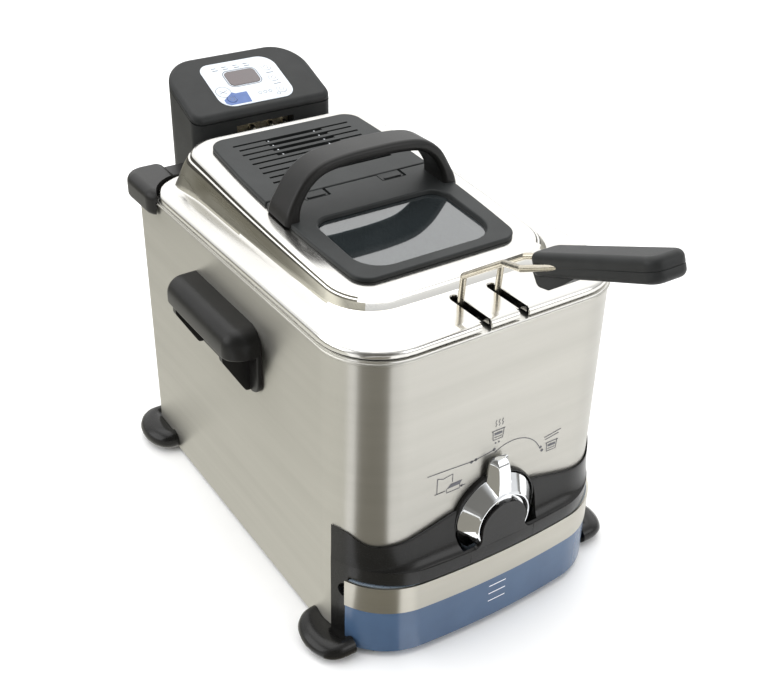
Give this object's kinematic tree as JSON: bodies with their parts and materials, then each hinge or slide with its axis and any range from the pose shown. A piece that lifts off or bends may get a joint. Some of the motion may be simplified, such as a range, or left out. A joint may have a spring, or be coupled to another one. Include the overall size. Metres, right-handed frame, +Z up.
{
  "type": "deep fryer",
  "caption": "Box-shaped deep fryer with a removable bowl, lift-off windowed lid, basket on a long handle, plug-in control unit, drain selector and pull-out oil box.",
  "frame": {"origin": "centre of the whole appliance's footprint, on the worktop", "axes": "+Z up, front towards -Y, +X to the right as seen from the front"},
  "size_m": [0.29, 0.5372, 0.3644],
  "materials": {
    "housing_steel": "brushed stainless steel, satin",
    "lid_steel": "satin stainless steel",
    "bowl_steel": "satin stainless steel",
    "black_plastic": "fine matt black moulding",
    "panel_plastic": "dark grey satin moulding",
    "foot_plastic": "glossy black moulding",
    "inner_plastic": "plain black moulding",
    "rubber": "soft black rubber",
    "chrome": "bright chrome plating",
    "rod_steel": "drawn nickel-plated wire",
    "fastener_steel": "zinc plated",
    "brass": "machined brass",
    "oil_box_plastic": "translucent blue moulding",
    "oil_box_lid_plastic": "blue-grey moulding",
    "glass": "clear tempered glass",
    "overlay_film": "printed white film",
    "display_red": "dark red tinted window",
    "key_plastic": "pale grey key caps",
    "board": "green circuit board",
    "transformer_steel": "varnished laminations",
    "filter_felt": "needled felt"
  },
  "bodies": {
    "chassis": {"outer_housing": "housing_steel", "housing_collar": "housing_steel", "rear_guide": "black_plastic", "base_tray": "inner_plastic", "heat_shield": "bowl_steel", "foot_front_left": "foot_plastic", "foot_front_right": "foot_plastic", "foot_rear_left": "foot_plastic", "foot_rear_right": "foot_plastic", "foot_pads": "rubber", "base_screws": "fastener_steel", "front_trim": "black_plastic", "knob_bezel": "black_plastic", "shaft_bush": "brass", "side_handle_left": "black_plastic", "side_handle_right": "black_plastic", "handle_screws": "fastener_steel"},
    "selector": {"selector_knob": "chrome", "selector_shaft": "rod_steel"},
    "bowl": {"oil_bowl": "bowl_steel", "valve_gasket": "rubber", "valve_body": "brass", "bowl_strainer": "bowl_steel"},
    "drain_plug": {"valve_plug": "brass"},
    "oil_box": {"oil_box": "oil_box_plastic", "oil_box_lid": "oil_box_lid_plastic", "oil_box_band": "housing_steel"},
    "control_unit": {"control_case": "black_plastic", "control_cover": "black_plastic", "control_overlay": "overlay_film", "display_lens": "display_red", "circuit_board": "board", "transformer": "transformer_steel", "power_inlet": "inner_plastic", "terminal_plate": "bowl_steel", "heating_element": "rod_steel", "temperature_probe": "rod_steel", "element_clip": "rod_steel", "case_screws": "fastener_steel"},
    "key_power": {"key_power": "key_plastic"},
    "key_timer": {"key_timer": "key_plastic"},
    "key_raise": {"key_raise": "key_plastic"},
    "key_set": {"key_set": "key_plastic"},
    "basket": {"basket_mesh": "rod_steel", "basket_rim": "rod_steel", "basket_bracket": "rod_steel", "handle_wires": "rod_steel", "grip_upper": "black_plastic", "grip_lower": "black_plastic", "grip_screws": "fastener_steel"},
    "lid": {"lid_shell": "lid_steel", "lid_seal": "rubber", "window_frame": "panel_plastic", "window_glass": "glass", "window_gasket": "rubber", "filter_tray": "bowl_steel", "filter_mat": "filter_felt", "lid_handle": "black_plastic", "lid_handle_screws": "fastener_steel"},
    "vent_cover": {"vent_cover": "panel_plastic"}
  },
  "joints": [
    {"name": "bowl_lift", "type": "slide", "parent": "chassis", "child": "bowl", "axis": [0, 0, 1], "range_m": [0, 0.16]},
    {"name": "control_lift", "type": "slide", "parent": "bowl", "child": "control_unit", "axis": [0, 0, 1], "range_m": [0, 0.15]},
    {"name": "basket_lift", "type": "slide", "parent": "control_unit", "child": "basket", "axis": [0, 0, 1], "range_m": [0, 0.125]},
    {"name": "lid_lift", "type": "slide", "parent": "basket", "child": "lid", "axis": [0, 0, 1], "range_m": [0, 0.12]},
    {"name": "vent_cover_hinge", "type": "hinge", "parent": "lid", "child": "vent_cover", "pos_m": [0, 0.16779, 0.29513], "axis": [-1, 0, 0], "range_deg": [0, 95]},
    {"name": "selector_turn", "type": "hinge", "parent": "chassis", "child": "selector", "pos_m": [0, -0.1414, 0.097], "axis": [0, 1, 0], "range_deg": [-30, 55]},
    {"name": "drain_plug_turn", "type": "hinge", "parent": "bowl", "child": "drain_plug", "pos_m": [0, -0.0204, 0.097], "axis": [0, 1, 0], "range_deg": [-30, 55]},
    {"name": "oil_box_slide", "type": "slide", "parent": "chassis", "child": "oil_box", "axis": [0, -1, 0], "range_m": [0, 0.3]},
    {"name": "key_power_press", "type": "slide", "parent": "control_unit", "child": "key_power", "axis": [0, 0.3778, -0.9259], "range_m": [0, 0.0006], "stiffness_N_per_m": 800},
    {"name": "key_timer_press", "type": "slide", "parent": "control_unit", "child": "key_timer", "axis": [0, 0.3778, -0.9259], "range_m": [0, 0.0006], "stiffness_N_per_m": 800},
    {"name": "key_raise_press", "type": "slide", "parent": "control_unit", "child": "key_raise", "axis": [0, 0.3778, -0.9259], "range_m": [0, 0.0006], "stiffness_N_per_m": 800},
    {"name": "key_set_press", "type": "slide", "parent": "control_unit", "child": "key_set", "axis": [0, 0.3778, -0.9259], "range_m": [0, 0.0006], "stiffness_N_per_m": 800}
  ],
  "couplings": [
    {"joint": "drain_plug_turn", "follows": "selector_turn", "ratio": 1}
  ]
}
